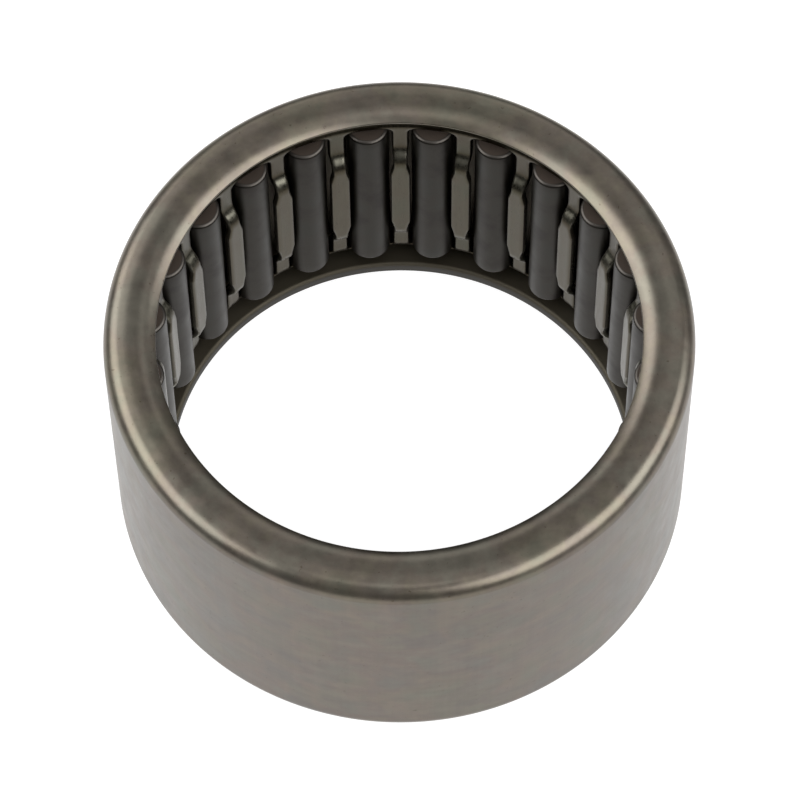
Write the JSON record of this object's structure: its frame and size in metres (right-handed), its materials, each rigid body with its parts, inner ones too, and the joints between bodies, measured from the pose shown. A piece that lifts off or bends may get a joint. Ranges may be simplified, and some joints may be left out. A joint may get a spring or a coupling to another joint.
{
  "type": "needle roller bearing",
  "caption": "Open-ended drawn-cup needle roller bearing: a thin cup with inturned lips round a pressed window cage that carries a full ring of free-rolling needle rollers.",
  "frame": {"origin": "centre of the cup's envelope: on the bearing axis, midway between the two end faces", "axes": "+Z along the bearing axis, towards the end with the rolled lip; +X and +Y radial, with the first roller 6.74 degrees from +X towards +Y at rest"},
  "size_m": [0.0476, 0.0476, 0.0254],
  "materials": {
    "cup_steel": "satin, case-hardened drawn steel with a faint brown and violet heat tint",
    "cage_steel": "satin pressed steel sheet, slightly warm grey",
    "roller_steel": "fine-ground dark through-hardened steel"
  },
  "bodies": {
    "cup": {"drawn_cup": "cup_steel"},
    "cage": {"roller_cage": "cage_steel"},
    "roller_01": {"needle_roller_01": "roller_steel"},
    "roller_02": {"needle_roller_02": "roller_steel"},
    "roller_03": {"needle_roller_03": "roller_steel"},
    "roller_04": {"needle_roller_04": "roller_steel"},
    "roller_05": {"needle_roller_05": "roller_steel"},
    "roller_06": {"needle_roller_06": "roller_steel"},
    "roller_07": {"needle_roller_07": "roller_steel"},
    "roller_08": {"needle_roller_08": "roller_steel"},
    "roller_09": {"needle_roller_09": "roller_steel"},
    "roller_10": {"needle_roller_10": "roller_steel"},
    "roller_11": {"needle_roller_11": "roller_steel"},
    "roller_12": {"needle_roller_12": "roller_steel"},
    "roller_13": {"needle_roller_13": "roller_steel"},
    "roller_14": {"needle_roller_14": "roller_steel"},
    "roller_15": {"needle_roller_15": "roller_steel"},
    "roller_16": {"needle_roller_16": "roller_steel"},
    "roller_17": {"needle_roller_17": "roller_steel"},
    "roller_18": {"needle_roller_18": "roller_steel"},
    "roller_19": {"needle_roller_19": "roller_steel"},
    "roller_20": {"needle_roller_20": "roller_steel"},
    "roller_21": {"needle_roller_21": "roller_steel"},
    "roller_22": {"needle_roller_22": "roller_steel"},
    "roller_23": {"needle_roller_23": "roller_steel"},
    "roller_24": {"needle_roller_24": "roller_steel"}
  },
  "joints": [
    {"name": "cage_spin", "type": "hinge", "parent": "cup", "child": "cage", "pos_m": [0, 0, 0], "axis": [0, 0, 1], "continuous": true},
    {"name": "roller_01_spin", "type": "hinge", "parent": "cage", "child": "roller_01", "pos_m": [0.02071, 0.00245, 0.00015], "axis": [0, 0, 1], "continuous": true},
    {"name": "roller_02_spin", "type": "hinge", "parent": "cage", "child": "roller_02", "pos_m": [0.01937, 0.00772, 0.00015], "axis": [0, 0, 1], "continuous": true},
    {"name": "roller_03_spin", "type": "hinge", "parent": "cage", "child": "roller_03", "pos_m": [0.01671, 0.01248, 0.00015], "axis": [0, 0, 1], "continuous": true},
    {"name": "roller_04_spin", "type": "hinge", "parent": "cage", "child": "roller_04", "pos_m": [0.01291, 0.01638, 0.00015], "axis": [0, 0, 1], "continuous": true},
    {"name": "roller_05_spin", "type": "hinge", "parent": "cage", "child": "roller_05", "pos_m": [0.00824, 0.01916, 0.00015], "axis": [0, 0, 1], "continuous": true},
    {"name": "roller_06_spin", "type": "hinge", "parent": "cage", "child": "roller_06", "pos_m": [0.003, 0.02064, 0.00015], "axis": [0, 0, 1], "continuous": true},
    {"name": "roller_07_spin", "type": "hinge", "parent": "cage", "child": "roller_07", "pos_m": [-0.00245, 0.02071, 0.00015], "axis": [0, 0, 1], "continuous": true},
    {"name": "roller_08_spin", "type": "hinge", "parent": "cage", "child": "roller_08", "pos_m": [-0.00772, 0.01937, 0.00015], "axis": [0, 0, 1], "continuous": true},
    {"name": "roller_09_spin", "type": "hinge", "parent": "cage", "child": "roller_09", "pos_m": [-0.01248, 0.01671, 0.00015], "axis": [0, 0, 1], "continuous": true},
    {"name": "roller_10_spin", "type": "hinge", "parent": "cage", "child": "roller_10", "pos_m": [-0.01638, 0.01291, 0.00015], "axis": [0, 0, 1], "continuous": true},
    {"name": "roller_11_spin", "type": "hinge", "parent": "cage", "child": "roller_11", "pos_m": [-0.01916, 0.00824, 0.00015], "axis": [0, 0, 1], "continuous": true},
    {"name": "roller_12_spin", "type": "hinge", "parent": "cage", "child": "roller_12", "pos_m": [-0.02064, 0.003, 0.00015], "axis": [0, 0, 1], "continuous": true},
    {"name": "roller_13_spin", "type": "hinge", "parent": "cage", "child": "roller_13", "pos_m": [-0.02071, -0.00245, 0.00015], "axis": [0, 0, 1], "continuous": true},
    {"name": "roller_14_spin", "type": "hinge", "parent": "cage", "child": "roller_14", "pos_m": [-0.01937, -0.00772, 0.00015], "axis": [0, 0, 1], "continuous": true},
    {"name": "roller_15_spin", "type": "hinge", "parent": "cage", "child": "roller_15", "pos_m": [-0.01671, -0.01248, 0.00015], "axis": [0, 0, 1], "continuous": true},
    {"name": "roller_16_spin", "type": "hinge", "parent": "cage", "child": "roller_16", "pos_m": [-0.01291, -0.01638, 0.00015], "axis": [0, 0, 1], "continuous": true},
    {"name": "roller_17_spin", "type": "hinge", "parent": "cage", "child": "roller_17", "pos_m": [-0.00824, -0.01916, 0.00015], "axis": [0, 0, 1], "continuous": true},
    {"name": "roller_18_spin", "type": "hinge", "parent": "cage", "child": "roller_18", "pos_m": [-0.003, -0.02064, 0.00015], "axis": [0, 0, 1], "continuous": true},
    {"name": "roller_19_spin", "type": "hinge", "parent": "cage", "child": "roller_19", "pos_m": [0.00245, -0.02071, 0.00015], "axis": [0, 0, 1], "continuous": true},
    {"name": "roller_20_spin", "type": "hinge", "parent": "cage", "child": "roller_20", "pos_m": [0.00772, -0.01937, 0.00015], "axis": [0, 0, 1], "continuous": true},
    {"name": "roller_21_spin", "type": "hinge", "parent": "cage", "child": "roller_21", "pos_m": [0.01248, -0.01671, 0.00015], "axis": [0, 0, 1], "continuous": true},
    {"name": "roller_22_spin", "type": "hinge", "parent": "cage", "child": "roller_22", "pos_m": [0.01638, -0.01291, 0.00015], "axis": [0, 0, 1], "continuous": true},
    {"name": "roller_23_spin", "type": "hinge", "parent": "cage", "child": "roller_23", "pos_m": [0.01916, -0.00824, 0.00015], "axis": [0, 0, 1], "continuous": true},
    {"name": "roller_24_spin", "type": "hinge", "parent": "cage", "child": "roller_24", "pos_m": [0.02064, -0.003, 0.00015], "axis": [0, 0, 1], "continuous": true}
  ],
  "couplings": [
    {"joint": "roller_01_spin", "follows": "cage_spin", "ratio": -12.689},
    {"joint": "roller_02_spin", "follows": "cage_spin", "ratio": -12.689},
    {"joint": "roller_03_spin", "follows": "cage_spin", "ratio": -12.689},
    {"joint": "roller_04_spin", "follows": "cage_spin", "ratio": -12.689},
    {"joint": "roller_05_spin", "follows": "cage_spin", "ratio": -12.689},
    {"joint": "roller_06_spin", "follows": "cage_spin", "ratio": -12.689},
    {"joint": "roller_07_spin", "follows": "cage_spin", "ratio": -12.689},
    {"joint": "roller_08_spin", "follows": "cage_spin", "ratio": -12.689},
    {"joint": "roller_09_spin", "follows": "cage_spin", "ratio": -12.689},
    {"joint": "roller_10_spin", "follows": "cage_spin", "ratio": -12.689},
    {"joint": "roller_11_spin", "follows": "cage_spin", "ratio": -12.689},
    {"joint": "roller_12_spin", "follows": "cage_spin", "ratio": -12.689},
    {"joint": "roller_13_spin", "follows": "cage_spin", "ratio": -12.689},
    {"joint": "roller_14_spin", "follows": "cage_spin", "ratio": -12.689},
    {"joint": "roller_15_spin", "follows": "cage_spin", "ratio": -12.689},
    {"joint": "roller_16_spin", "follows": "cage_spin", "ratio": -12.689},
    {"joint": "roller_17_spin", "follows": "cage_spin", "ratio": -12.689},
    {"joint": "roller_18_spin", "follows": "cage_spin", "ratio": -12.689},
    {"joint": "roller_19_spin", "follows": "cage_spin", "ratio": -12.689},
    {"joint": "roller_20_spin", "follows": "cage_spin", "ratio": -12.689},
    {"joint": "roller_21_spin", "follows": "cage_spin", "ratio": -12.689},
    {"joint": "roller_22_spin", "follows": "cage_spin", "ratio": -12.689},
    {"joint": "roller_23_spin", "follows": "cage_spin", "ratio": -12.689},
    {"joint": "roller_24_spin", "follows": "cage_spin", "ratio": -12.689}
  ]
}
